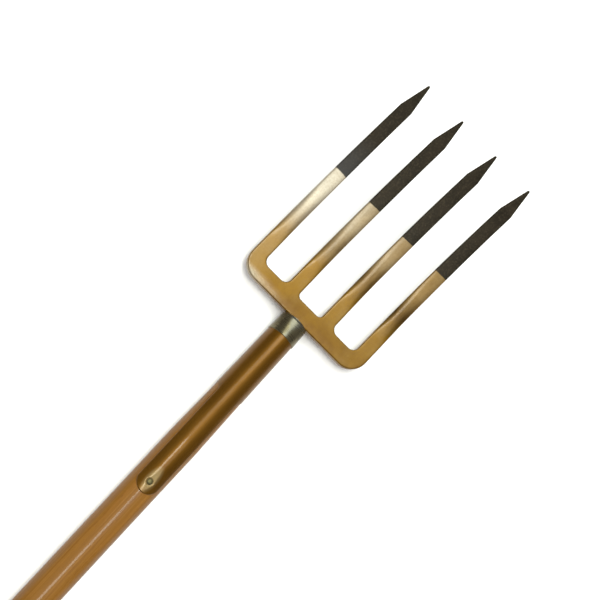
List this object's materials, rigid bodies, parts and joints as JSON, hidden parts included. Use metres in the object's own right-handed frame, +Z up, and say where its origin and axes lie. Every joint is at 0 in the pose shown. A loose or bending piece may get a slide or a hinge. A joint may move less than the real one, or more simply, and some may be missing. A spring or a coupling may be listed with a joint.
{
  "type": "hay fork",
  "caption": "Long-handled farm fork: flat spear-pointed tines on a crossbar, tongued steel ferrule and straight ash handle with a domed butt.",
  "frame": {"origin": "on the floor, under the middle of the fork's length, with the fork lying on its back", "axes": "+X from the butt of the handle to the points of the tines, +Y across the head, +Z up, out of the hollow side of the tines"},
  "size_m": [1.6262, 0.1798, 0.1039],
  "materials": {
    "head_lacquer": "clear gold lacquer over forged steel, tine ends dipped matt black",
    "ferrule_lacquer": "glossy bronze-gold lacquer over rolled steel sheet",
    "bare_steel": "bright steel, slightly dulled",
    "ash": "lacquered ash, honey brown",
    "rivet_steel": "plain steel, hammered"
  },
  "bodies": {
    "root": {"fork_head": "head_lacquer", "tongued_ferrule": "ferrule_lacquer", "ferrule_ring": "bare_steel", "handle": "ash", "tongue_rivet": "rivet_steel", "rivet_washer": "rivet_steel"}
  },
  "joints": []
}
